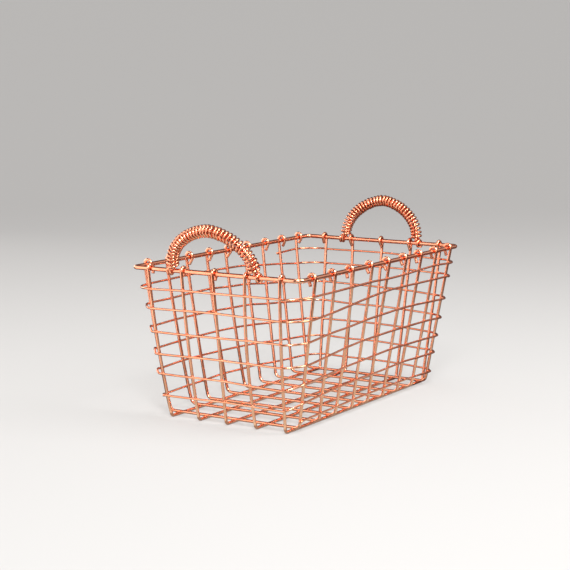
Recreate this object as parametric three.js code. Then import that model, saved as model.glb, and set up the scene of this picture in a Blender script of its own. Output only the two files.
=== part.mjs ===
// Rectangular wire basket with two bound carrying handles. Millimetres, +Z up.
// +X runs along the basket and +Y across it. The origin is on the table, under the basket's middle.
import * as THREE from 'three';

// Rim, measured on the centre line of its wire
const RIM_LENGTH = 331;
const RIM_WIDTH = 194.5;
const RIM_HEIGHT = 153.5;
const RIM_CORNER_RADIUS = 7;

// Floor, measured between the feet of opposite walls on the centre lines of their wires
const FLOOR_LENGTH = 291;
const FLOOR_WIDTH = 153;

// Wire diameters
const RIM_WIRE = 4.2;
const FRAME_WIRE = 3.2;
const SPIRAL_WIRE = 2.2;
const CORE_WIRE = 4;
const WINDING_WIRE = 2.4;

// Space left between wires that are welded or bound together
const SEAT_GAP = 0.3;

// Cross wires stand in the long walls. Insets run from the rim's or floor's end to the first wire.
const CROSS_WIRES = 9;
const CROSS_RIM_INSET = 22.2;
const CROSS_FLOOR_INSET = 15;
const CROSS_BEND_RADIUS = 6;

// Long wires stand in the end walls and lie under the cross wires
const LONG_WIRES = 5;
const LONG_RIM_INSET = 21.3;
const LONG_FLOOR_INSET = 8.6;
const LONG_BEND_RADIUS = 4;

// Hooks that hold the cross and long wires on the rim
const HOOK_PLAY = 0.45;
const TAIL_LENGTH = 7.5;
const TAIL_LEAN = THREE.MathUtils.degToRad(18);

// Spiral wire: its whole rounds, and its distances from the rim at its start and from the floor wires at its
// end. It is level along the end walls and falls along the long walls, less along the first and the last one.
// The way along a wall, raised to the power, is the share of the fall made so far: it falls late.
const SPIRAL_ROUNDS = 6;
const SPIRAL_RIM_DISTANCE = 14.1;
const SPIRAL_FLOOR_DISTANCE = 5.3;
const SPIRAL_FIRST_FALL = 4.5;
const SPIRAL_LAST_FALL = 6;
const SPIRAL_FALL_POWER = 3;
const SPIRAL_START_WIRE = 8;

// Handles: the height over the rim's centre line, the outward lean, and the room between core and winding
const FRONT_HANDLE = { rise: 43.3, lean: THREE.MathUtils.degToRad(14), windingPlay: 1.9 };
const BACK_HANDLE = { rise: 45.2, lean: THREE.MathUtils.degToRad(7), windingPlay: 0.9 };
const LEG_LENGTH = 4;

// The legs stand just outside these long wires, counted from each side, clear of their hooks
const LEG_BESIDE_WIRE = 2;
const LEG_HOOK_SPACE = 0.6;

// Winding of a handle: turns round the arch, and round the rim at each foot
const ARCH_TURNS = 34.5;
const BINDING_TURNS = 1.25;
const BINDING_SPACE = 0.7;
const BINDING_DISTANCE = 2;

// Flat facets along a wire
const RIM_SIDES = 8;
const FRAME_SIDES = 6;
const SPIRAL_SIDES = 6;
const CORE_SIDES = 8;
const WINDING_SIDES = 5;

// Straight steps in a bend, a hook, a corner, an arch and a curl
const BEND_STEPS = 4;
const HOOK_STEPS = 7;
const RIM_CORNER_STEPS = 6;
const SPIRAL_CORNER_STEPS = 5;
const ARCH_STEPS = 28;
const CURL_STEPS = 8;
const SETOFF_STEPS = 4;

// Finishes: the thick wires, and the thin wires that show more of the copper's own red
const COPPER = { color: 0xd98c66, roughness: 0.25, metalness: 1 };
const COPPER_SHADE = { color: 0xc97a55, roughness: 0.25, metalness: 1 };

const X_AXIS = new THREE.Vector3(1, 0, 0);
const Z_AXIS = new THREE.Vector3(0, 0, 1);

// A faceted wire has the cross-section area of the round wire of its diameter.
function cornerRadius(diameter, sides) {
  const wedge = (2 * Math.PI) / sides;
  return (diameter / 2) * Math.sqrt(wedge / Math.sin(wedge));
}

function flatRadius(diameter, sides) {
  return cornerRadius(diameter, sides) * Math.cos(Math.PI / sides);
}

const FRAME_FLAT = flatRadius(FRAME_WIRE, FRAME_SIDES);
const SPIRAL_FLAT = flatRadius(SPIRAL_WIRE, SPIRAL_SIDES);
const RIM_OUTER = cornerRadius(RIM_WIRE, RIM_SIDES);
const LONG_FLOOR_HEIGHT = FRAME_FLAT;
const CROSS_FLOOR_HEIGHT = 3 * FRAME_FLAT + SEAT_GAP;
const HOOK_RADIUS = (RIM_WIRE + FRAME_WIRE) / 2 + HOOK_PLAY;

// A polygon swept along points. Sections sit on the bisecting planes, so straight runs keep flat facets.
// The reference, one vector or one for each point, turns the section: its first corner lies phase from it.
function sweep(points, reference, { diameter, sides, phase, closed = false }) {
  const radius = cornerRadius(diameter, sides);
  const count = points.length;
  const positions = [];
  for (let i = 0; i < count; i += 1) {
    const before = points[closed ? (i + count - 1) % count : Math.max(i - 1, 0)];
    const after = points[closed ? (i + 1) % count : Math.min(i + 1, count - 1)];
    const arriving = points[i].clone().sub(before).normalize();
    const leaving = after.clone().sub(points[i]).normalize();
    const tangent = arriving.clone().add(leaving).normalize();
    const turn = leaving.clone().sub(arriving).projectOnPlane(tangent).normalize();
    const inTurn = before !== points[i] && after !== points[i];
    const stretch = inTurn ? 1 / tangent.dot(leaving) - 1 : 0;
    const facing = Array.isArray(reference) ? reference[i] : reference;
    const across = facing.clone().projectOnPlane(tangent).normalize();
    const along = tangent.clone().cross(across);
    for (let side = 0; side < sides; side += 1) {
      const angle = phase + (side / sides) * 2 * Math.PI;
      const offset = across.clone().multiplyScalar(Math.cos(angle)).addScaledVector(along, Math.sin(angle));
      offset.addScaledVector(turn, offset.dot(turn) * stretch).multiplyScalar(radius);
      positions.push(...points[i].clone().add(offset).toArray());
    }
  }
  const indices = [];
  const rings = closed ? count : count - 1;
  for (let ring = 0; ring < rings; ring += 1) {
    const here = ring * sides;
    const next = ((ring + 1) % count) * sides;
    for (let side = 0; side < sides; side += 1) {
      const other = (side + 1) % sides;
      indices.push(here + side, here + other, next + other);
      indices.push(here + side, next + other, next + side);
    }
  }
  if (!closed) {
    const last = (count - 1) * sides;
    for (let side = 1; side < sides - 1; side += 1) {
      indices.push(0, side + 1, side);
      indices.push(last, last + side, last + side + 1);
    }
  }
  const geometry = new THREE.BufferGeometry();
  geometry.setAttribute('position', new THREE.Float32BufferAttribute(positions, 3));
  geometry.setIndex(indices);
  geometry.computeVertexNormals();
  return geometry;
}

function wire(name, geometry, finish) {
  const mesh = new THREE.Mesh(geometry, new THREE.MeshStandardMaterial(finish));
  mesh.name = name;
  return mesh;
}

// Points of a circular arc in the plane of a wall: x is the reach from the basket's middle, y the height.
function arc(centre, radius, from, to, steps) {
  return Array.from({ length: steps + 1 }, (_, step) => {
    const angle = THREE.MathUtils.lerp(from, to, step / steps);
    return new THREE.Vector2(Math.cos(angle), Math.sin(angle)).multiplyScalar(radius).add(centre);
  });
}

// A wall's slope: its wires rise from the foot and touch the circle of their hook round the rim.
function slopedWall(floorReach, floorHeight, rimReach) {
  const foot = new THREE.Vector2(floorReach, floorHeight);
  const rim = new THREE.Vector2(rimReach, RIM_HEIGHT);
  const span = rim.clone().sub(foot);
  const flare = Math.atan2(span.x, span.y) + Math.asin(HOOK_RADIUS / span.length());
  const reachAt = (height) => foot.x + (height - foot.y) * Math.tan(flare);
  return { foot, rim, flare, reachAt };
}

const sideWall = slopedWall(FLOOR_WIDTH / 2, CROSS_FLOOR_HEIGHT, RIM_WIDTH / 2);
const endWall = slopedWall(FLOOR_LENGTH / 2, LONG_FLOOR_HEIGHT, RIM_LENGTH / 2);

// Places of a row of wires along their wall: they fan out from the floor to the rim.
function fan(count, floorSpan, rimSpan, wall) {
  const place = (share, height) => {
    const rise = (height - wall.foot.y) / (RIM_HEIGHT - wall.foot.y);
    return share * THREE.MathUtils.lerp(floorSpan, rimSpan, rise);
  };
  const shares = Array.from({ length: count }, (_, index) => index / (count - 1) - 0.5);
  return { shares, place };
}

const crossFan = fan(
  CROSS_WIRES,
  FLOOR_LENGTH - 2 * CROSS_FLOOR_INSET,
  RIM_LENGTH - 2 * CROSS_RIM_INSET,
  sideWall,
);
const longFan = fan(
  LONG_WIRES,
  FLOOR_WIDTH - 2 * LONG_FLOOR_INSET,
  RIM_WIDTH - 2 * LONG_RIM_INSET,
  endWall,
);

// Rim: a closed ring with rounded corners.
function rimWire() {
  const straightX = RIM_LENGTH / 2 - RIM_CORNER_RADIUS;
  const straightY = RIM_WIDTH / 2 - RIM_CORNER_RADIUS;
  const corners = [[1, 1], [-1, 1], [-1, -1], [1, -1]];
  const points = corners.flatMap(([signX, signY], quarter) => {
    const centre = new THREE.Vector2(signX * straightX, signY * straightY);
    const from = (quarter * Math.PI) / 2;
    return arc(centre, RIM_CORNER_RADIUS, from, from + Math.PI / 2, RIM_CORNER_STEPS);
  });
  const ring = points.map((point) => new THREE.Vector3(point.x, point.y, RIM_HEIGHT));
  const section = { diameter: RIM_WIRE, sides: RIM_SIDES, phase: Math.PI / RIM_SIDES, closed: true };
  return wire('rim_wire', sweep(ring, Z_AXIS, section), COPPER);
}

// A wire bent to a U, with a hook over the rim at each end. It lies in x = place, and y is its reach.
function hookedWire(name, wall, bendRadius, floorPlace, rimPlace) {
  const { foot, rim, flare } = wall;
  const bendLength = bendRadius * Math.tan((Math.PI / 2 - flare) / 2);
  const bendCentre = new THREE.Vector2(foot.x - bendLength, foot.y + bendRadius);
  const bend = arc(bendCentre, bendRadius, -Math.PI / 2, -flare, BEND_STEPS);
  const hook = arc(rim, HOOK_RADIUS, -flare, Math.PI + TAIL_LEAN, HOOK_STEPS);
  const tail = new THREE.Vector2(Math.sin(TAIL_LEAN), -Math.cos(TAIL_LEAN)).multiplyScalar(TAIL_LENGTH);
  const tailEnd = hook[HOOK_STEPS].clone().add(tail);
  const half = [
    ...bend.map((point) => new THREE.Vector3(floorPlace, point.x, point.y)),
    ...[...hook, tailEnd].map((point) => new THREE.Vector3(rimPlace, point.x, point.y)),
  ];
  const mirrored = half.map((point) => new THREE.Vector3(point.x, -point.y, point.z));
  const section = { diameter: FRAME_WIRE, sides: FRAME_SIDES, phase: 0 };
  return wire(name, sweep([...mirrored.reverse(), ...half], X_AXIS, section), COPPER);
}

function hookedWires(prefix, wall, bendRadius, { shares, place }) {
  const row = new THREE.Group();
  shares.forEach((share, index) => {
    const floorPlace = place(share, wall.foot.y);
    const rimPlace = place(share, RIM_HEIGHT);
    row.add(hookedWire(`${prefix}_${index + 1}`, wall, bendRadius, floorPlace, rimPlace));
  });
  return row;
}

// Least gap of a wound wire to itself, measured on points spaced along it. Points less than half a turn
// apart along the wire are neighbours and don't count.
function leastGap(points, diameter, halfTurn) {
  const spacing = diameter / 2;
  const samples = [];
  const runs = [];
  let run = 0;
  for (let i = 1; i < points.length; i += 1) {
    const length = points[i].distanceTo(points[i - 1]);
    const steps = Math.max(1, Math.round(length / spacing));
    for (let step = 0; step < steps; step += 1) {
      samples.push(points[i - 1].clone().lerp(points[i], step / steps));
      runs.push(run + (length * step) / steps);
    }
    run += length;
  }
  let least = Infinity;
  let next = 0;
  samples.forEach((sample, index) => {
    while (next < samples.length && runs[next] - runs[index] < halfTurn) {
      next += 1;
    }
    for (let other = next; other < samples.length; other += 1) {
      least = Math.min(least, sample.distanceToSquared(samples[other]));
    }
  });
  return Math.sqrt(least) - diameter;
}

function reportGap(name, points, diameter, halfTurn) {
  const gap = leastGap(points, diameter, halfTurn);
  console.log(`${name}: least gap to itself ${gap.toFixed(2)} mm`);
}

// Spiral wire: along each wall outside its uprights, and round each corner on a quarter of an ellipse. It
// runs clockwise seen from above, from an upright of the +Y wall to the last one of the -Y wall.
function spiralOutline(height) {
  const clearance = FRAME_FLAT + SPIRAL_FLAT + SEAT_GAP;
  const reachX = endWall.reachAt(height) + clearance / Math.cos(endWall.flare);
  const reachY = sideWall.reachAt(height) + clearance / Math.cos(sideWall.flare);
  const straightX = crossFan.place(0.5, height) + FRAME_WIRE;
  const straightY = longFan.place(0.5, height) + FRAME_WIRE;
  return { reachX, reachY, straightX, straightY };
}

// A point at a share of a long wall, past an upright's middle by the given distance.
function alongWall(side, share, past, height) {
  const { reachY } = spiralOutline(height);
  return new THREE.Vector3(crossFan.place(share, height) + past, side * reachY, height);
}

function aroundCorner(signX, signY, angle, height) {
  const { reachX, reachY, straightX, straightY } = spiralOutline(height);
  const x = straightX + (reachX - straightX) * Math.sin(angle);
  const y = straightY + (reachY - straightY) * Math.cos(angle);
  return new THREE.Vector3(signX * x, signY * y, height);
}

// Heights of the spiral at the end walls in turn, and at its end.
function spiralLevels() {
  const top = RIM_HEIGHT - SPIRAL_RIM_DISTANCE;
  const bottom = CROSS_FLOOR_HEIGHT + SPIRAL_FLOOR_DISTANCE;
  const evenFalls = 2 * SPIRAL_ROUNDS - 1;
  const between = Array.from({ length: evenFalls + 1 }, (_, index) => {
    return THREE.MathUtils.lerp(top - SPIRAL_FIRST_FALL, bottom + SPIRAL_LAST_FALL, index / evenFalls);
  });
  return [top, ...between, bottom];
}

function spiralPoints() {
  const levels = spiralLevels();
  const turns = Array.from({ length: SPIRAL_CORNER_STEPS + 1 }, (_, step) => {
    return ((step / SPIRAL_CORNER_STEPS) * Math.PI) / 2;
  });
  const past = -(FRAME_WIRE + SPIRAL_WIRE) / 2;
  const points = [alongWall(1, crossFan.shares[SPIRAL_START_WIRE - 1], past, levels[0])];
  for (let wall = 0; wall < levels.length - 1; wall += 1) {
    const end = wall % 2 === 0 ? 1 : -1;
    const height = levels[wall];
    points.push(...turns.map((angle) => aroundCorner(end, end, angle, height)));
    points.push(...turns.map((angle) => aroundCorner(end, -end, Math.PI / 2 - angle, height)));
    crossFan.shares.forEach((share, index) => {
      const fall = (index / (CROSS_WIRES - 1)) ** SPIRAL_FALL_POWER;
      points.push(alongWall(-end, -end * share, 0, THREE.MathUtils.lerp(height, levels[wall + 1], fall)));
    });
  }
  points.push(alongWall(-1, crossFan.shares[0], past, levels[levels.length - 1]));
  return points;
}

function spiralWire() {
  const points = spiralPoints();
  reportGap('spiral_wire', points, SPIRAL_WIRE, FLOOR_LENGTH + FLOOR_WIDTH);
  const section = { diameter: SPIRAL_WIRE, sides: SPIRAL_SIDES, phase: 0 };
  return wire('spiral_wire', sweep(points, Z_AXIS, section), COPPER_SHADE);
}

// Handles are drawn upright, with the rim's centre line as their y axis and the outside at -x.
const FOOT_HEIGHT = RIM_OUTER + SEAT_GAP;
const COIL_START_HEIGHT = FOOT_HEIGHT + WINDING_WIRE;

// Radius of a curl's corners, so that its straight steps clear what it goes round by the play.
function curlRadius(coreDiameter, play) {
  return ((coreDiameter + WINDING_WIRE) / 2 + play) / Math.cos(Math.PI / CURL_STEPS);
}

function legPlace({ windingPlay }) {
  const hookPlace = longFan.place(-longFan.shares[LEG_BESIDE_WIRE - 1], RIM_HEIGHT);
  const hookHalf = cornerRadius(FRAME_WIRE, FRAME_SIDES);
  const coilHalf = curlRadius(CORE_WIRE, windingPlay) + cornerRadius(WINDING_WIRE, WINDING_SIDES);
  return hookPlace + hookHalf + LEG_HOOK_SPACE + coilHalf;
}

// Centre line of an arch: two short straight legs and half an ellipse.
function archPath(handle) {
  const halfSpan = legPlace(handle);
  const spring = FOOT_HEIGHT + LEG_LENGTH;
  const path = new THREE.Path();
  path.moveTo(halfSpan, FOOT_HEIGHT).lineTo(halfSpan, spring);
  path.absellipse(0, spring, halfSpan, handle.rise - spring, 0, Math.PI, false, 0);
  return path.lineTo(-halfSpan, FOOT_HEIGHT);
}

function handleCore(name, handle) {
  const [firstLeg, bow, secondLeg] = archPath(handle).curves;
  const outline = [firstLeg.v1, ...bow.getSpacedPoints(ARCH_STEPS), secondLeg.v2];
  const points = outline.map((point) => new THREE.Vector3(0, point.x, point.y));
  const section = { diameter: CORE_WIRE, sides: CORE_SIDES, phase: Math.PI / CORE_SIDES };
  return wire(name, sweep(points, X_AXIS, section), COPPER);
}

// One end of a winding, at the +y foot, from its free end to the side of the leg. It goes round the rim,
// then up the outside of the rim and over to the leg.
function bindingEnd(handle) {
  const rimRadius = curlRadius(RIM_WIRE, SEAT_GAP);
  const legRadius = curlRadius(CORE_WIRE, handle.windingPlay);
  const pitch = WINDING_WIRE + BINDING_SPACE;
  const points = [];
  const outward = [];
  for (let step = BINDING_TURNS * CURL_STEPS; step >= 0; step -= 1) {
    const turns = step / CURL_STEPS;
    const angle = Math.PI + turns * 2 * Math.PI;
    const facing = new THREE.Vector3(Math.cos(angle), 0, Math.sin(angle));
    const centre = new THREE.Vector3(0, legPlace(handle) + BINDING_DISTANCE + turns * pitch, 0);
    points.push(centre.addScaledVector(facing, rimRadius));
    outward.push(facing);
  }
  const straightEnd = points[0].clone().sub(points[1]).setLength(WINDING_WIRE);
  points.unshift(points[0].clone().add(straightEnd));
  outward.unshift(outward[0]);
  for (let step = 1; step < SETOFF_STEPS; step += 1) {
    const share = step / SETOFF_STEPS;
    const angle = (share * Math.PI) / 2;
    const reach = THREE.MathUtils.lerp(rimRadius, legRadius, share);
    const place = legPlace(handle) + BINDING_DISTANCE * Math.cos(angle);
    points.push(new THREE.Vector3(-reach, place, COIL_START_HEIGHT * Math.sin(angle)));
    outward.push(new THREE.Vector3(-1, 0, 0));
  }
  return { points, outward };
}

// A handle's winding: an open coil round the arch, bound round the rim at both feet. Half a turn more than
// whole turns makes its second end the first one turned about the middle of the arch.
function windingPath(handle) {
  const arch = archPath(handle);
  const radius = curlRadius(CORE_WIRE, handle.windingPlay);
  const { points, outward } = bindingEnd(handle);
  const turned = (vector) => new THREE.Vector3(-vector.x, -vector.y, vector.z);
  const lastPoints = points.map(turned).reverse();
  const lastOutward = outward.map(turned).reverse();
  const skipped = (COIL_START_HEIGHT - FOOT_HEIGHT) / arch.getLength();
  const steps = ARCH_TURNS * CURL_STEPS;
  for (let step = 0; step <= steps; step += 1) {
    const share = THREE.MathUtils.lerp(skipped, 1 - skipped, step / steps);
    const centre = arch.getPoint(share);
    const tangent = arch.getTangent(share);
    const angle = Math.PI / 2 + (step / CURL_STEPS) * 2 * Math.PI;
    const normal = new THREE.Vector3(0, tangent.y, -tangent.x).multiplyScalar(Math.cos(angle));
    const facing = normal.addScaledVector(X_AXIS, -Math.sin(angle));
    points.push(new THREE.Vector3(0, centre.x, centre.y).addScaledVector(facing, radius));
    outward.push(facing);
  }
  return { points: [...points, ...lastPoints], outward: [...outward, ...lastOutward] };
}

function handleWinding(name, handle) {
  const { points, outward } = windingPath(handle);
  reportGap(name, points, WINDING_WIRE, (Math.PI * (CORE_WIRE + WINDING_WIRE)) / 2);
  const section = { diameter: WINDING_WIRE, sides: WINDING_SIDES, phase: 0 };
  return wire(name, sweep(points, outward, section), COPPER_SHADE);
}

function handleAssembly(end, handle, rimEnd, turn) {
  const group = new THREE.Group();
  group.add(handleCore(`handle_core_${end}`, handle));
  group.add(handleWinding(`handle_winding_${end}`, handle));
  group.position.set(rimEnd, 0, RIM_HEIGHT);
  group.rotation.set(0, -handle.lean, turn, 'ZYX');
  return group;
}

const basket = new THREE.Group();
basket.add(rimWire());
basket.add(hookedWires('cross_wire', sideWall, CROSS_BEND_RADIUS, crossFan));
const longWires = hookedWires('long_wire', endWall, LONG_BEND_RADIUS, longFan);
longWires.rotation.z = -Math.PI / 2;
basket.add(longWires);
basket.add(spiralWire());
basket.add(handleAssembly('front', FRONT_HANDLE, -RIM_LENGTH / 2, 0));
basket.add(handleAssembly('back', BACK_HANDLE, RIM_LENGTH / 2, Math.PI));

export default basket;
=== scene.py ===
"""Looks of a rectangular basket of polished copper wire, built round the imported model's frame."""
import math
import random

import bpy
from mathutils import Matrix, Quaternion, Vector


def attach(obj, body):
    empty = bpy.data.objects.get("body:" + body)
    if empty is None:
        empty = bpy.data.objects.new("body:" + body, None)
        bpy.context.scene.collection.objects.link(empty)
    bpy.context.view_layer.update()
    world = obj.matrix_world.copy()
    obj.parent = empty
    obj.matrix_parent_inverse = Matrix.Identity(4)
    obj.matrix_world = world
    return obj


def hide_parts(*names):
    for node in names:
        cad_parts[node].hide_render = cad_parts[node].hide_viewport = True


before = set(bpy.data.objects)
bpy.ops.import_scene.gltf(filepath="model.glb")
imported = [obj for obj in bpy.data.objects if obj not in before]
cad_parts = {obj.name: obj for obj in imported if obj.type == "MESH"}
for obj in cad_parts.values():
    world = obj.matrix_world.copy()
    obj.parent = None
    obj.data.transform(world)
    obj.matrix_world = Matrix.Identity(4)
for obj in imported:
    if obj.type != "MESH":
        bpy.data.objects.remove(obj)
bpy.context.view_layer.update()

# The basket's sizes are in millimetres. Its meshes, the stage, the lights and the camera are in metres.
# Walls go by the sign of their side: the long walls are -1 at -Y, which is the near one, and 1 at +Y. The end
# walls are -1 at -X, which is the front one, and 1 at +X.
METRE = 0.001
TINY = 1e-9

# Wires: their radius and the sides of their round section. A cut end is worn round by a share of the radius.
RIM_R, FRAME_R, SPIRAL_R, CORE_R, WINDING_R = 2.25, 1.6, 1.1, 2.0, 1.35
RIM_SIDES, FRAME_SIDES, SPIRAL_SIDES, CORE_SIDES, WINDING_SIDES = 18, 14, 12, 16, 10
CUT_ROUNDING = 0.16
# How deep wires that are welded sink into each other
WELD_SINK = 0.2

# Rim: its size, and the radius of each corner in order, anticlockwise from above
RIM_LENGTH, RIM_WIDTH, RIM_HEIGHT = 331.0, 194.5, 153.5
RIM_CORNERS = {(1, 1): 7.0, (-1, 1): 4.0, (-1, -1): 7.0, (1, -1): 6.5}
RIM_CORNER_STEPS, RIM_SPACING = 16, 6.0

# Frame wires: their number, how far the outer ones are from the corners of the rim and of the floor, and the
# radius of the bends at their feet
CROSS_WIRES, CROSS_RIM_INSET, CROSS_FLOOR_INSET, CROSS_BEND = 9, 22.2, 15.0, 6.0
LONG_WIRES, LONG_RIM_INSET, LONG_FLOOR_INSET, LONG_BEND = 5, 21.3, 8.6, 4.0
FLOOR_LENGTH, FLOOR_WIDTH = 291.0, 153.0
LONG_FLOOR_Z = FRAME_R
CROSS_FLOOR_Z = 3 * FRAME_R - WELD_SINK
CROSS_SEED, LONG_SEED = 100, 200
BEND_STEPS, UPRIGHT_STEPS, HOOK_STEPS, TAIL_STEPS = 10, 24, 22, 5
# How far each upright is bent aside at its foot, half-way up and at the rim, wall by wall and wire by wire.
# Cross wires are counted and bent towards +X, long wires towards -Y.
CROSS_BENDS = {
    -1: [(-2.6, -2.8, -1.3), (1.4, 1.2, -0.1), (0.2, 2.6, -1.4), (1.0, 2.1, 1.2), (1.0, 0.7, 1.2),
         (1.0, 1.5, 1.8), (1.0, 0.2, 0.4), (1.0, 1.0, -0.7), (1.8, -0.2, -2.0)],
    1: [(-4.9, -4.1, 0.2), (-0.4, -1.9, 0.9), (-3.9, -2.9, -0.4), (0.2, -1.5, 0.4), (0.5, -1.3, 0.2),
        (-0.4, 0.5, 1.2), (-1.5, 0.2, 2.0), (0.2, 0.5, 0.7), (0.1, 1.1, 2.0)],
}
LONG_BENDS = {
    -1: [(0.1, -2.9, -0.9), (-0.1, -1.2, 1.3), (-0.9, -0.3, 0.0), (-0.1, -3.8, -0.3), (0.6, -0.4, 1.0)],
    1: [(0.2, 1.4, 2.2), (0.3, 1.2, -0.2), (2.3, 1.5, 0.8), (-0.9, -0.4, -0.1), (-1.7, -1.2, -1.1)],
}
# How far an upright also bows, by chance, along its wall and out of it
BOW_ALONG, BOW_OUT = 0.35, 0.25

# Hooks, wall by wall: room over the rim, and lean and length of the tail
HOOK_R = RIM_R + FRAME_R
CROSS_HOOKS = {-1: (0.7, math.radians(18), 6.8), 1: (1.1, math.radians(31), 6.2)}
LONG_HOOKS = {-1: (0.3, math.radians(18), 5.0), 1: (0.3, math.radians(25), 7.0)}
# What chance adds: degrees of lean, length, how far aside the tail starts, and the share more at its tip
TAIL_LEANS, TAIL_LENGTHS, TAIL_ASIDE, TAIL_SPLAY = (-6, 8), (-1.2, 1.0), 0.9, 0.9

# Spiral: its heights as it passes the back and the front wall in turn, down to its end at the near corner
SPIRAL_LEVELS = [139.4, 134.9, 122.8, 114.7, 101.2, 90.3, 79.6, 67.6, 58.8, 47.0, 38.8, 24.0, 17.2, 10.2]
# The share of a long wall's fall made so far is the share of the way along it, raised to this power
SPIRAL_FALL_POWER = 3
# The cross wire at whose far upright it starts
SPIRAL_START = 8
SPIRAL_SEED = 7
SPIRAL_CORNER_STEPS, SPIRAL_SPACING = 8, 4.0
# Round by round: how far it is pulled in at each corner, sinks across the back wall, and lifts round the corner
# of the front wall and the far wall
SPIRAL_CORNER_PULLS = {
    (1, 1): [1.5] * 7,
    (1, -1): [2.2] * 7,
    (-1, -1): [1.5] * 6,
    (-1, 1): [1.6, 3.0, 2.8, 2.6, 1.4, 2.4],
}
SPIRAL_BACK_FALLS = [2.4, 1.2, 4.2, 4.2, 3.4, 2.4, 2.4]
SPIRAL_FRONT_RISES = [-1.0, 0.2, 2.2, 2.4, 2.2, -1.3, 0.0]
# How far every round is lifted at each upright, in order along +X at the long walls and along +Y at the end walls
SPIRAL_CROSS_LIFTS = {
    -1: [1.6, 0.9, 0.3, 0.2, 0.3, 0.3, 0.4, 0.4, 0.6],
    1: [-1.2, -0.3, 0.4, 0.8, 0.6, 0.3, -0.3, -0.3, 0.1],
}
SPIRAL_LONG_LIFTS = {-1: [0.0, 0.2, 0.1, -0.6, -1.0], 1: [-0.1, 1.1, 1.3, 0.4, 0.0]}
# How much more it is at some levels, from the near corner on: even ones go on along the near long wall, and odd
# ones are at the front wall
SPIRAL_NEAR_LIFTS = {
    0: [0.3, 0.0, 0.1, -0.8, -1.8, -1.2, 0.0, 0.8, 0.4],
    2: [-2.4, -2.5, -0.8, 1.4, 2.2, 1.8, 1.3, 0.9, 0.4],
    3: [-1.2, -0.6, -0.2],
    8: [1.4, 0.7, 0.5],
    9: [-2.3, -1.4, -0.3],
    10: [4.9, 4.0, 2.3, 0.5],
}
# How far it strays up or down, by chance, at an upright
SPIRAL_KINK = 0.5

# Spot welds: half of their width, height and depth. Chance scales the width and the height.
SPIRAL_WELD, FLOOR_WELD, WELD_SCALES = (1.9, 1.7, 0.95), (1.9, 1.9, 0.7), (0.9, 1.15)
SPIRAL_WELD_SEED, FLOOR_WELD_SEED = 21, 22
WELD_RINGS, WELD_SIDES = 6, 12

# Handles: height over the rim, outward lean, room under the winding, how far each leg stands from the middle of
# the rim, the power that draws it in from an ellipse, and how far the winding hangs inward on the core
FRONT = {
    "rise": 44.8, "lean": math.radians(14), "play": 1.75,
    "legs": (48.4, 47.2), "legs_in": (1.16, 1.22), "hang": 0.8,
}
BACK = {
    "rise": 46.5, "lean": math.radians(7), "play": 1.7,
    "legs": (45.9, 45.7), "legs_in": (1.2, 1.2), "hang": 0.6,
}
FOOT_HEIGHT, LEG_LENGTH = 2.5, 4.0
ARCH_STEPS, CORE_STEPS = 200, 90
# Winding: its turns round the arch and where they start, and its ends round the rim beside the feet
ARCH_TURNS, TURN_STEPS, COIL_START = 34.5, 20, FOOT_HEIGHT + 2 * WINDING_R
BINDING_TURNS, BINDING_PITCH, BINDING_DISTANCE, BINDING_CLEARANCE = 1.25, 3.1, 2.0, 0.05
BINDING_RISE_STEPS = 8
# How far a turn strays, by chance, along the arch as a share of its length, and in reach
TURN_SHIFT, TURN_REACH = 0.003, 0.22

# Stage floor: it is flat, then curves up to a wall. It lies a hair below the basket.
STAGE_RINGS, STAGE_FLAT, STAGE_CURVE, STAGE_WALL = (0.7, 1.5), 2.2, 2.4, 3.4
STAGE_SIDES, STAGE_CURVE_STEPS, STAGE_Z = 96, 20, -0.0002
STAGE_COLOUR, STAGE_GLOW_COLOUR, STAGE_GLOW = (0.27, 0.267, 0.263, 1), (1.0, 0.99, 0.97, 1), 0.36
STAGE_ROUGHNESS, STAGE_SPECULAR = 0.8, 0.2

# Lights: place, aim or None for straight up, size, power, colour and spread in degrees. The cards lie on the
# floor, where the wires reflect them as they would a table.
WORLD_COLOUR, WORLD_STRENGTH = (1.0, 0.72, 0.66, 1), 0.15
WHITE, WARM, TABLE, TABLE_SHADE = (1, 1, 1), (1.0, 0.98, 0.95), (0.64, 0.97, 0.97), (0.66, 0.97, 0.95)
LIGHTS = {
    "key": ((-0.96, 0.89, 0.68), (0, 0, 0.3), (1.2, 1.3), 2.8, WARM, 90),
    "edge": ((0.2, 1.6, 0.6), (0, 0, 0.2), (1.6, 1.0), 4.0, WARM, 90),
    "left_card": ((-0.675, 0.48, 0.003), None, (0.85, 0.8), 3.8, WARM, 180),
    "front_card": ((-0.27, -0.04, 0.003), None, (0.24, 0.26), 0.18, TABLE, 180),
    "side_card": ((-0.07, -0.23, 0.003), None, (0.4, 0.3), 0.34, TABLE, 180),
    "under_card": ((-0.02, 0.0, 0.0006), None, (0.28, 0.17), 0.065, TABLE_SHADE, 180),
    "front": ((-1.19, -0.73, 1.25), (0, 0, 0.1), (0.36, 0.36), 26, WHITE, 180),
    "fill": ((-2.1, -1.3, 0.8), (0, 0, 0.35), (2.0, 1.2), 3.5, WHITE, 70),
    "top": ((0.15, 0.1, 1.7), (0, 0, 0), (0.8, 0.8), 8, WHITE, 180),
    "side": ((1.15, -0.95, 0.75), (0, 0, 0.15), (1.4, 1.0), 2.5, WHITE, 180),
    "glint": ((0.14, -1.12, 1.23), (0, 0, 0.1), (0.8, 0.8), 24, WHITE, 180),
}

# Camera, fitted to the photograph. Its sensor and lens are in millimetres.
CAMERA_PLACE, CAMERA_AIM = (-1.3750, -0.8451, 0.3566), (-0.0052, 0.0209, 0.1216)
CAMERA_SENSOR, CAMERA_LENS, CAMERA_RANGE = 36.0, 97.5, 60


def lerp(a, b, share):
    return a + (b - a) * share


def steps(count):
    return [i / count for i in range(count + 1)]


def run_lengths(points):
    """The length along the points up to each of them."""
    runs = [0.0]
    for before, after in zip(points, points[1:]):
        runs.append(runs[-1] + (after - before).length)
    return runs


# Meshes


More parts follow.
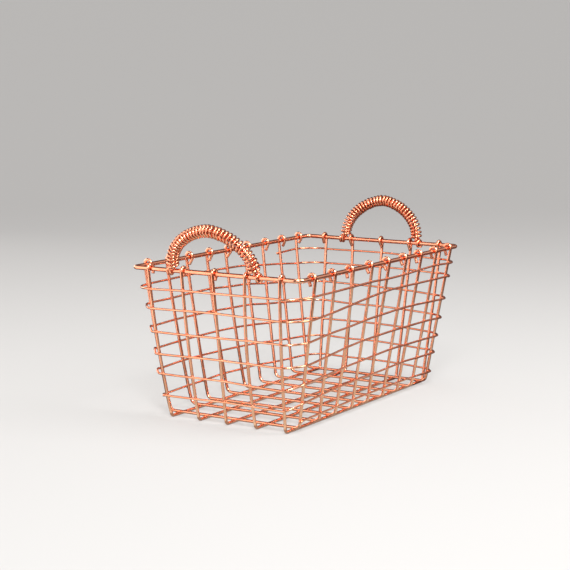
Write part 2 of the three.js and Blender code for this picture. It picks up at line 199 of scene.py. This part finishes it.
def tube(name, points, radius, sides, material, closed=False):
    """A round wire along points, with cut ends if it is open. Its UV's U runs once round it, and its V along it in
    millimetres."""
    count = len(points)
    tangents = []
    for i in range(count):
        before = points[i - 1] if closed or i > 0 else points[0]
        after = points[(i + 1) % count] if closed or i < count - 1 else points[-1]
        tangents.append((after - before).normalized())
    side = tangents[0].orthogonal().normalized()
    frames = [side]
    for i in range(1, count):
        side = tangents[i - 1].rotation_difference(tangents[i]) @ side
        side = (side - tangents[i] * side.dot(tangents[i])).normalized()
        frames.append(side)
    twist = 0.0
    if closed:
        back = tangents[-1].rotation_difference(tangents[0]) @ frames[-1]
        twist = math.atan2(back.cross(frames[0]).dot(tangents[0]), back.dot(frames[0]))
    rings = [(points[i], tangents[i], frames[i], 1.0, twist * i / count) for i in range(count)]
    runs = run_lengths(points)
    if not closed:
        cut, left = CUT_ROUNDING * radius, 1 - CUT_ROUNDING
        rings.insert(0, (points[0] - tangents[0] * cut, tangents[0], frames[0], left, 0.0))
        rings.append((points[-1] + tangents[-1] * cut, tangents[-1], frames[-1], left, 0.0))
        runs = [-cut, *runs, runs[-1] + cut]
    verts = []
    for centre, tangent, side, share, turn in rings:
        up = tangent.cross(side)
        for k in range(sides):
            angle = turn + 2 * math.pi * k / sides
            out = side * math.cos(angle) + up * math.sin(angle)
            verts.append((centre + out * (radius * share)) * METRE)
    faces, uvs, smooth = [], [], []
    last = len(rings)
    for i in range(last if closed else last - 1):
        j = (i + 1) % last
        run = runs[j] if j else runs[-1] + (points[0] - points[-1]).length
        for k in range(sides):
            m = (k + 1) % sides
            faces.append((i * sides + k, i * sides + m, j * sides + m, j * sides + k))
            here, beside = k / sides, (k + 1) / sides
            uvs += [(here, runs[i]), (beside, runs[i]), (beside, run), (here, run)]
            smooth.append(True)
    if not closed:
        faces.append(tuple(reversed(range(sides))))
        faces.append(tuple((last - 1) * sides + k for k in range(sides)))
        uvs += [(0.5, runs[0])] * sides + [(0.5, runs[-1])] * sides
        smooth += [False, False]
    mesh = bpy.data.meshes.new(name)
    mesh.from_pydata(verts, [], faces)
    layer = mesh.uv_layers.new(name="UVMap")
    layer.data.foreach_set("uv", [value for uv in uvs for value in uv])
    mesh.polygons.foreach_set("use_smooth", smooth)
    mesh.materials.append(material)
    mesh.update()
    piece = bpy.data.objects.new(name + "_round", mesh)
    bpy.context.scene.collection.objects.link(piece)
    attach(piece, "root")
    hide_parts(name)


def rounded(points, spacing):
    """Points of a smooth curve through the given ones, about spacing apart."""
    dense = []
    for i in range(len(points) - 1):
        p0 = points[max(i - 1, 0)]
        p1, p2 = points[i], points[i + 1]
        p3 = points[min(i + 2, len(points) - 1)]
        length = (p2 - p1).length
        m1 = (p2 - p0) * (length / max((p1 - p0).length + length, TINY))
        m2 = (p3 - p1) * (length / max((p3 - p2).length + length, TINY))
        pieces = max(1, round(length / spacing))
        for k in range(pieces):
            t = k / pieces
            a, b = (1 + 2 * t) * (1 - t) ** 2, t * (1 - t) ** 2
            c, d = t * t * (3 - 2 * t), t * t * (t - 1)
            dense.append(p1 * a + m1 * b + p2 * c + m2 * d)
    dense.append(points[-1].copy())
    return dense


# Materials


class Nodes:
    """Short words for making a node tree."""

    def __init__(self, material):
        material.use_nodes = True
        self.tree = material.node_tree
        self.shader = self.tree.nodes["Principled BSDF"]

    def add(self, kind, inputs=()):
        node = self.tree.nodes.new("ShaderNode" + kind)
        for key, value in dict(inputs).items():
            if isinstance(value, bpy.types.NodeSocket):
                self.tree.links.new(value, node.inputs[key])
            else:
                node.inputs[key].default_value = value
        return node

    def link(self, socket, name):
        self.tree.links.new(socket, self.shader.inputs[name])


def copper(name, light, deep, rough):
    """Polished copper: cloudy colour, drawn streaks along the wire, and a finish that varies a little."""
    material = bpy.data.materials.new(name)
    nodes = Nodes(material)
    place = nodes.add("TexCoord")
    cloud = nodes.add("TexNoise", {"Vector": place.outputs["Object"], "Scale": 55.0, "Detail": 3.0})
    colour = nodes.add("ValToRGB", {"Fac": cloud.outputs["Fac"]})
    low, high = colour.color_ramp.elements
    low.position, low.color = 0.32, (*deep, 1)
    high.position, high.color = 0.68, (*light, 1)
    nodes.link(colour.outputs["Color"], "Base Color")
    nodes.shader.inputs["Metallic"].default_value = 1.0
    stretch = nodes.add("Mapping", {"Vector": place.outputs["UV"], "Scale": (14.0, 0.16, 1.0)})
    streak = nodes.add("TexNoise", {"Vector": stretch.outputs["Vector"], "Scale": 1.0, "Detail": 4.0})
    finish = nodes.add("MapRange", {"Value": streak.outputs["Fac"], "From Min": 0.3, "From Max": 0.75,
                                    "To Min": rough * 0.7, "To Max": rough * 1.5})
    nodes.link(finish.outputs["Result"], "Roughness")
    ripple = nodes.add("TexNoise", {"Vector": place.outputs["Object"], "Scale": 260.0, "Detail": 2.0})
    bump = nodes.add("Bump", {"Height": streak.outputs["Fac"], "Strength": 0.12, "Distance": 0.0002})
    bump = nodes.add("Bump", {"Height": ripple.outputs["Fac"], "Strength": 0.10, "Distance": 0.0004,
                              "Normal": bump.outputs["Normal"]})
    nodes.link(bump.outputs["Normal"], "Normal")
    return material


thick_copper = copper("thick_copper", (0.93, 0.415, 0.26), (0.84, 0.315, 0.18), 0.2)
thin_copper = copper("thin_copper", (0.92, 0.40, 0.245), (0.83, 0.29, 0.155), 0.18)
weld_copper = copper("weld_copper", (0.78, 0.31, 0.18), (0.60, 0.20, 0.10), 0.30)


# Frame wires


def arc(centre, radius, start, end, count):
    points = []
    for share in steps(count):
        angle = lerp(start, end, share)
        points.append(centre + Vector((math.cos(angle), math.sin(angle))) * radius)
    return points


class Wall:
    """A sloping wall: its wires rise from the foot and touch the circle of their hook round the rim."""

    def __init__(self, floor_reach, floor_z, rim_reach):
        self.foot = Vector((floor_reach, floor_z))
        self.rim = Vector((rim_reach, RIM_HEIGHT))
        span = self.rim - self.foot
        self.flare = math.atan2(span.x, span.y) + math.asin(HOOK_R / span.length)

    def reach(self, z):
        return self.foot.x + (z - self.foot.y) * math.tan(self.flare)


class Fan:
    """A row of wires along a wall and the one across from it, that fan out from the floor to the rim."""

    def __init__(self, count, floor_span, rim_span, wall, bends):
        self.shares = [i / (count - 1) - 0.5 for i in range(count)]
        self.floor_span, self.rim_span, self.wall, self.bends = floor_span, rim_span, wall, bends

    def place(self, share, z, side):
        """Where a wire is along its wall at a height. Its bend is a parabola through the three that are given."""
        rise = (z - self.wall.foot.y) / (RIM_HEIGHT - self.wall.foot.y)
        foot, middle, rim = self.bends[side][round((share + 0.5) * (len(self.shares) - 1))]
        aside = foot * (1 - rise) * (1 - 2 * rise) + middle * 4 * rise * (1 - rise) + rim * rise * (2 * rise - 1)
        return share * lerp(self.floor_span, self.rim_span, rise) + aside


side_wall = Wall(FLOOR_WIDTH / 2, CROSS_FLOOR_Z, RIM_WIDTH / 2)
end_wall = Wall(FLOOR_LENGTH / 2, LONG_FLOOR_Z, RIM_LENGTH / 2)
cross_fan = Fan(CROSS_WIRES, FLOOR_LENGTH - 2 * CROSS_FLOOR_INSET, RIM_LENGTH - 2 * CROSS_RIM_INSET,
                side_wall, CROSS_BENDS)
long_fan = Fan(LONG_WIRES, FLOOR_WIDTH - 2 * LONG_FLOOR_INSET, RIM_WIDTH - 2 * LONG_RIM_INSET,
               end_wall, LONG_BENDS)


def rim_wire():
    points = []
    for quarter, ((sx, sy), bend) in enumerate(RIM_CORNERS.items()):
        centre = Vector((sx * (RIM_LENGTH / 2 - bend), sy * (RIM_WIDTH / 2 - bend)))
        turn = quarter * math.pi / 2
        points += [p.to_3d() for p in arc(centre, bend, turn, turn + math.pi / 2, RIM_CORNER_STEPS)]
    ring = []
    for i, point in enumerate(points):
        following = points[(i + 1) % len(points)]
        pieces = max(1, round((following - point).length / RIM_SPACING))
        ring += [point.lerp(following, k / pieces) + Vector((0, 0, RIM_HEIGHT)) for k in range(pieces)]
    tube("rim_wire", ring, RIM_R, RIM_SIDES, thick_copper, closed=True)


def hooked_end(wall, bend_radius, fan, share, side, hook_sizes, rng):
    """Half of a wire, from the floor up the wall, over the rim and down to its cut tail."""
    flare = wall.flare
    floor_place, rim_place = fan.place(share, wall.foot.y, side), fan.place(share, RIM_HEIGHT, side)
    bend_length = bend_radius * math.tan((math.pi / 2 - flare) / 2)
    bend_centre = Vector((wall.foot.x - bend_length, wall.foot.y + bend_radius))
    bend = arc(bend_centre, bend_radius, -math.pi / 2, -flare, BEND_STEPS)
    room, lean, length = hook_sizes
    lean += math.radians(rng.uniform(*TAIL_LEANS))
    length += rng.uniform(*TAIL_LENGTHS)
    askew = rng.uniform(-TAIL_ASIDE, TAIL_ASIDE)
    hook = arc(wall.rim, HOOK_R, -flare, math.pi + lean, HOOK_STEPS)
    for p in hook:
        p.y += room * max(0.0, (p.y - wall.rim.y) / HOOK_R)
    down = Vector((math.sin(lean), -math.cos(lean)))
    points = [Vector((floor_place, p.x, p.y)) for p in bend]
    start, end = points[-1], Vector((rim_place, hook[0].x, hook[0].y))
    bow = Vector((rng.uniform(-BOW_ALONG, BOW_ALONG), rng.uniform(-BOW_OUT, BOW_OUT), 0))
    for way in steps(UPRIGHT_STEPS)[1:-1]:
        point = start.lerp(end, way)
        point.x = fan.place(share, point.z, side)
        points.append(point + bow * math.sin(math.pi * way))
    for way, p in zip(steps(HOOK_STEPS), hook):
        points.append(Vector((rim_place + askew * way ** 2, p.x, p.y)))
    for way in steps(TAIL_STEPS)[1:]:
        p = hook[-1] + down * (length * way)
        points.append(Vector((rim_place + askew * (1 + TAIL_SPLAY * way), p.x, p.y)))
    return points


def hooked_wires(prefix, wall, bend_radius, fan, hooks, turn, seed):
    for index, share in enumerate(fan.shares):
        rng = random.Random(seed + index)
        first = hooked_end(wall, bend_radius, fan, share, -1, hooks[-1], rng)
        second = hooked_end(wall, bend_radius, fan, share, 1, hooks[1], rng)
        mirrored = [Vector((p.x, -p.y, p.z)) for p in reversed(first)]
        points = [turn @ p for p in mirrored + second]
        tube(f"{prefix}_{index + 1}", points, FRAME_R, FRAME_SIDES, thick_copper)


rim_wire()
hooked_wires("cross_wire", side_wall, CROSS_BEND, cross_fan, CROSS_HOOKS, Quaternion(), CROSS_SEED)
quarter_turn = Quaternion((0, 0, 1), -math.pi / 2)
hooked_wires("long_wire", end_wall, LONG_BEND, long_fan, LONG_HOOKS, quarter_turn, LONG_SEED)


# Spiral wire. It passes stations, each with its kind, its value there and the sides that it is at: a "cross" or
# "long" station is at an upright, with the upright's share, and a "corner" one has the angle round the corner.


def spiral_point(station, level, z):
    kind, value, sx, sy = station
    clear = FRAME_R + SPIRAL_R - WELD_SINK
    reach_x = end_wall.reach(z) + clear / math.cos(end_wall.flare)
    reach_y = side_wall.reach(z) + clear / math.cos(side_wall.flare)
    if kind == "cross":
        share, past = value
        return Vector((cross_fan.place(share, z, sy) + past, sy * reach_y, z))
    if kind == "long":
        return Vector((sx * reach_x, -long_fan.place(-value, z, sx), z))
    straight_x = abs(cross_fan.place(sx * 0.5, z, sy)) + 2 * FRAME_R
    straight_y = abs(long_fan.place(-sy * 0.5, z, sx)) + 2 * FRAME_R
    x = straight_x + (reach_x - straight_x) * math.sin(value)
    y = straight_y + (reach_y - straight_y) * math.cos(value)
    pull = SPIRAL_CORNER_PULLS[sx, sy][level // 2] * math.sin(2 * value)
    return Vector((sx * (x - pull), sy * (y - pull), z))


def sag(station, level):
    """How far the spiral hangs below its level: it sinks across the back wall and lifts round the corner of the
    front wall and the far wall, by its own measure in each round, and the long walls take that up."""
    kind, value, sx, sy = station
    fall, rise = SPIRAL_BACK_FALLS[int(level) // 2], SPIRAL_FRONT_RISES[int(level) // 2]
    if kind == "long" and sx > 0:
        return fall * (0.5 - value)
    if kind == "corner" and sx > 0 > sy:
        return fall
    if kind == "corner" and sx < 0 < sy:
        return -rise * math.cos(value)
    if kind == "cross" and sy < 0:
        return fall * (0.5 + value[0]) ** SPIRAL_FALL_POWER
    if kind == "cross" and sy > 0:
        return -rise * (0.5 - value[0])
    return 0.0


def near_lift(level, index):
    lifts = SPIRAL_NEAR_LIFTS.get(level, [])
    return lifts[index] if 0 <= index < len(lifts) else 0.0


def cross_lift(index, sy, level):
    extra = near_lift(int(level) // 2 * 2, index) if sy < 0 else 0.0
    return SPIRAL_CROSS_LIFTS[sy][index] + extra


def long_lift(index, sx, level):
    extra = near_lift(int(level), index) if sx < 0 else 0.0
    return SPIRAL_LONG_LIFTS[sx][index] + extra


def lift(station, level):
    """How far the spiral is lifted at an upright, or between the two uprights beside a corner."""
    kind, value, sx, sy = station
    if kind == "cross":
        return cross_lift(cross_fan.shares.index(value[0]), sy, level)
    if kind == "long":
        return long_lift(long_fan.shares.index(value), sx, level)
    cross_end = cross_lift(-1 if sx > 0 else 0, sy, level)
    long_end = long_lift(-1 if sy > 0 else 0, sx, level)
    return lerp(cross_end, long_end, value / (math.pi / 2))


def spiral_stations():
    """Where the spiral passes, clockwise from above: each upright, and steps round each corner. Each station
    comes with its level, which counts the end walls that the spiral has passed."""
    stations = []

    def corner(level, sx, sy, swing_out):
        for share in steps(SPIRAL_CORNER_STEPS):
            angle = share * math.pi / 2
            stations.append((level, ("corner", angle if swing_out else math.pi / 2 - angle, sx, sy)))

    def along(level, shares, sy):
        for share in shares:
            way = 0.5 + sy * share
            stations.append((level + way ** SPIRAL_FALL_POWER, ("cross", (share, 0.0), 0, sy)))

    def across(level, sx, shares):
        stations.extend((level, ("long", share, sx, 0)) for share in shares)

    right = cross_fan.shares
    left = right[::-1]
    down, up = long_fan.shares[::-1], long_fan.shares
    past = -FRAME_R - SPIRAL_R
    stations.append((0, ("cross", (right[SPIRAL_START - 1], past), 0, 1)))
    stations.extend((0, ("cross", (share, 0.0), 0, 1)) for share in right[SPIRAL_START - 1:])
    last = len(SPIRAL_LEVELS) - 2
    for level in range(0, last + 1, 2):
        corner(level, 1, 1, True)
        across(level, 1, down)
        corner(level, 1, -1, False)
        along(level, left, -1)
        if level < last:
            corner(level + 1, -1, -1, True)
            across(level + 1, -1, up)
            corner(level + 1, -1, 1, False)
            along(level + 1, right, 1)
    stations.append((last + 1, ("cross", (right[0], past), 0, -1)))
    return stations


def spiral_wire():
    """The spiral, and where it crosses the uprights, with the way out of the wall there."""
    rng = random.Random(SPIRAL_SEED)
    points, crossings = [], []
    for level, station in spiral_stations():
        kind, _, sx, sy = station
        index = min(int(level), len(SPIRAL_LEVELS) - 2)
        even = lerp(SPIRAL_LEVELS[index], SPIRAL_LEVELS[index + 1], level - index)
        z = even - sag(station, level) + lift(station, level)
        if kind != "corner":
            z += rng.uniform(-SPIRAL_KINK, SPIRAL_KINK)
        points.append(spiral_point(station, level, z))
        if kind != "corner":
            crossings.append((points[-1], Vector((sx, sy, 0))))
    tube("spiral_wire", rounded(points, SPIRAL_SPACING), SPIRAL_R, SPIRAL_SIDES, thin_copper)
    return crossings


def welds(name, spots):
    """Flat nuggets where wires are spot-welded: each has a centre, the way to the outer wire and its sizes."""
    verts, faces = [], []
    rings, sides = WELD_RINGS, WELD_SIDES
    for centre, out, (wide, tall, deep) in spots:
        side = Vector((0, 0, 1)).cross(out) if abs(out.z) < 0.5 else Vector((1, 0, 0))
        up = out.cross(side)
        first = len(verts)
        verts.append((centre - out * deep) * METRE)
        for i in range(1, rings):
            tilt = math.pi * i / rings
            for k in range(sides):
                angle = 2 * math.pi * k / sides
                flat = side * (wide * math.cos(angle)) + up * (tall * math.sin(angle))
                verts.append((centre + flat * math.sin(tilt) - out * (deep * math.cos(tilt))) * METRE)
        verts.append((centre + out * deep) * METRE)
        top = len(verts) - 1
        for k in range(sides):
            m = (k + 1) % sides
            faces.append((first, first + 1 + m, first + 1 + k))
            for i in range(rings - 2):
                a, b = first + 1 + i * sides, first + 1 + (i + 1) * sides
                faces.append((a + k, a + m, b + m, b + k))
            faces.append((top, top - sides + k, top - sides + m))
    mesh = bpy.data.meshes.new(name)
    mesh.from_pydata(verts, [], faces)
    mesh.polygons.foreach_set("use_smooth", [True] * len(faces))
    mesh.materials.append(weld_copper)
    mesh.update()
    piece = bpy.data.objects.new(name, mesh)
    bpy.context.scene.collection.objects.link(piece)
    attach(piece, "root")


def weld_size(sizes, rng):
    wide, tall, deep = sizes
    scale = rng.uniform(*WELD_SCALES)
    return wide * scale, tall * scale, deep


def spiral_welds():
    rng = random.Random(SPIRAL_WELD_SEED)
    spots = [(place - out * SPIRAL_R, out, weld_size(SPIRAL_WELD, rng)) for place, out in spiral_wire()]
    welds("spiral_welds", spots)


def floor_welds():
    spots = []
    rng = random.Random(FLOOR_WELD_SEED)
    z, up = 2 * FRAME_R - WELD_SINK / 2, Vector((0, 0, 1))
    for cross in cross_fan.shares:
        for long in long_fan.shares:
            xs = [cross_fan.place(cross, CROSS_FLOOR_Z, side) for side in (-1, 1)]
            ys = [-long_fan.place(long, LONG_FLOOR_Z, side) for side in (-1, 1)]
            x = lerp(*xs, 0.5 + sum(ys) / 2 / FLOOR_WIDTH)
            y = lerp(*ys, 0.5 + x / FLOOR_LENGTH)
            spots.append((Vector((x, y, z)), up, weld_size(FLOOR_WELD, rng)))
    welds("floor_welds", spots)


spiral_welds()
floor_welds()


# Handles, drawn upright with the rim's centre line as y axis and the outside at -x, then leaned and placed


def arch(handle):
    """Points along the arch's centre line, with the length up to each."""
    (left, right), spring = handle["legs"], FOOT_HEIGHT + LEG_LENGTH
    line = [Vector((0, left, FOOT_HEIGHT)), Vector((0, left, spring))]
    for share in steps(ARCH_STEPS)[1:-1]:
        angle = share * math.pi
        across = math.cos(angle)
        side = 0 if across > 0 else 1
        place = math.copysign(handle["legs"][side] * abs(across) ** handle["legs_in"][side], across)
        line.append(Vector((0, place, spring + (handle["rise"] - spring) * math.sin(angle))))
    line += [Vector((0, -right, spring)), Vector((0, -right, FOOT_HEIGHT))]
    return line, run_lengths(line)


def arch_point(line, runs, share):
    """The place and direction at a share of the arch's length."""
    run = share * runs[-1]
    i = max(1, next(k for k in range(len(runs)) if runs[k] >= run - TINY))
    t = (run - runs[i - 1]) / (runs[i] - runs[i - 1])
    return line[i - 1].lerp(line[i], t), (line[i] - line[i - 1]).normalized()


def coil_radius(handle):
    return CORE_R + WINDING_R + handle["play"]


def binding_end(handle, leg):
    """An end of the winding: turns round the rim beside the leg, then the rise to the coil round the leg."""
    rim_radius = RIM_R + WINDING_R + BINDING_CLEARANCE
    points = []
    for k in range(int(BINDING_TURNS * TURN_STEPS), -1, -1):
        turns = k / TURN_STEPS
        angle = math.pi * (1 + 2 * turns)
        place = leg + BINDING_DISTANCE + turns * BINDING_PITCH
        points.append(Vector((rim_radius * math.cos(angle), place, rim_radius * math.sin(angle))))
    for share in steps(BINDING_RISE_STEPS)[1:-1]:
        angle = share * math.pi / 2
        reach = lerp(rim_radius, coil_radius(handle), share)
        place = leg + BINDING_DISTANCE * math.cos(angle)
        points.append(Vector((-reach, place, COIL_START * math.sin(angle))))
    return points


def winding(handle, rng):
    """The coil round the arch, not quite even, with an end bound round the rim at each foot."""
    line, runs = arch(handle)
    first = binding_end(handle, handle["legs"][0])
    last = [Vector((-p.x, -p.y, p.z)) for p in reversed(binding_end(handle, handle["legs"][1]))]
    skipped = (COIL_START - FOOT_HEIGHT) / runs[-1]
    points = []
    total = int(ARCH_TURNS * TURN_STEPS)
    uneven = [(rng.uniform(-TURN_SHIFT, TURN_SHIFT), rng.uniform(-TURN_REACH, TURN_REACH))
              for turn in range(int(ARCH_TURNS) + 2)]
    for k in range(total + 1):
        turn = k // TURN_STEPS
        ease = 0.5 - 0.5 * math.cos(math.pi * (k % TURN_STEPS) / TURN_STEPS)
        settled = math.sin(math.pi * k / total) ** 0.5
        shift = lerp(uneven[turn][0], uneven[turn + 1][0], ease) * settled
        reach = coil_radius(handle) + lerp(uneven[turn][1], uneven[turn + 1][1], ease) * settled
        centre, tangent = arch_point(line, runs, lerp(skipped, 1 - skipped, k / total) + shift)
        angle = math.pi / 2 + 2 * math.pi * k / TURN_STEPS
        normal = Vector((0, tangent.z, -tangent.y))
        centre = centre - normal * (handle["hang"] * settled)
        points.append(centre + normal * (reach * math.cos(angle)) - Vector((reach * math.sin(angle), 0, 0)))
    return first + points + last


def handle_pieces(end, handle, rim_end, turn):
    lean = Quaternion((0, 0, 1), turn) @ Quaternion((0, 1, 0), -handle["lean"])
    foot = Vector((rim_end, 0, RIM_HEIGHT))

    def placed(points):
        return [foot + lean @ p for p in points]

    line, runs = arch(handle)
    core = [arch_point(line, runs, share)[0] for share in steps(CORE_STEPS)]
    tube(f"handle_core_{end}", placed(core), CORE_R, CORE_SIDES, thick_copper)
    coil = winding(handle, random.Random(end))
    tube(f"handle_winding_{end}", placed(coil), WINDING_R, WINDING_SIDES, thin_copper)


handle_pieces("front", FRONT, -RIM_LENGTH / 2, 0.0)
handle_pieces("back", BACK, RIM_LENGTH / 2, math.pi)


# Stage, light and camera


def studio_floor():
    """A pale round floor that curves up into a wall, far outside the camera's place."""
    profile = [(radius, 0.0) for radius in (*STAGE_RINGS, STAGE_FLAT)]
    for share in steps(STAGE_CURVE_STEPS)[1:]:
        angle = share * math.pi / 2
        profile.append((STAGE_FLAT + STAGE_CURVE * math.sin(angle), STAGE_CURVE - STAGE_CURVE * math.cos(angle)))
    profile.append((STAGE_FLAT + STAGE_CURVE, STAGE_WALL))
    sides = STAGE_SIDES
    verts = [(0, 0, 0)]
    for radius, z in profile:
        for k in range(sides):
            angle = 2 * math.pi * k / sides
            verts.append((radius * math.cos(angle), radius * math.sin(angle), z))
    faces = []
    for k in range(sides):
        m = (k + 1) % sides
        faces.append((0, 1 + k, 1 + m))
        for i in range(len(profile) - 1):
            a, b = 1 + i * sides, 1 + (i + 1) * sides
            faces.append((a + k, b + k, b + m, a + m))
    mesh = bpy.data.meshes.new("studio_floor")
    mesh.from_pydata(verts, [], faces)
    mesh.polygons.foreach_set("use_smooth", [True] * len(faces))
    material = bpy.data.materials.new("pale_floor")
    nodes = Nodes(material)
    nodes.shader.inputs["Base Color"].default_value = STAGE_COLOUR
    nodes.shader.inputs["Roughness"].default_value = STAGE_ROUGHNESS
    nodes.shader.inputs["Specular IOR Level"].default_value = STAGE_SPECULAR
    nodes.shader.inputs["Emission Color"].default_value = STAGE_GLOW_COLOUR
    nodes.shader.inputs["Emission Strength"].default_value = STAGE_GLOW
    mesh.materials.append(material)
    ground = bpy.data.objects.new("studio_floor", mesh)
    ground.location.z = STAGE_Z
    ground.visible_glossy = False
    bpy.context.scene.collection.objects.link(ground)


def turned(way):
    """The rotation of a light or camera that looks that way."""
    return way.to_track_quat("-Z", "Y").to_euler()


def area_light(name, place, aim, size, power, colour, spread):
    data = bpy.data.lights.new(name, "AREA")
    data.shape, data.size, data.size_y = "RECTANGLE", size[0], size[1]
    data.energy, data.color, data.spread = power, colour, math.radians(spread)
    light = bpy.data.objects.new(name, data)
    light.location = place
    light.visible_camera = False
    light.rotation_euler = turned(Vector(aim) - Vector(place) if aim else Vector((0, 0, 1)))
    bpy.context.scene.collection.objects.link(light)


def studio():
    world = bpy.data.worlds.new("studio")
    bpy.context.scene.world = world
    world.use_nodes = True
    world.node_tree.nodes["Background"].inputs["Color"].default_value = WORLD_COLOUR
    world.node_tree.nodes["Background"].inputs["Strength"].default_value = WORLD_STRENGTH
    for name, settings in LIGHTS.items():
        area_light(name, *settings)


def camera():
    data = bpy.data.cameras.new("camera")
    data.sensor_width = CAMERA_SENSOR
    data.lens = CAMERA_LENS
    data.clip_end = CAMERA_RANGE
    lens = bpy.data.objects.new("camera", data)
    lens.location = CAMERA_PLACE
    lens.rotation_euler = turned(Vector(CAMERA_AIM) - lens.location)
    bpy.context.scene.collection.objects.link(lens)
    bpy.context.scene.camera = lens


studio_floor()
studio()
camera()
bpy.context.scene.view_settings.view_transform = "Standard"
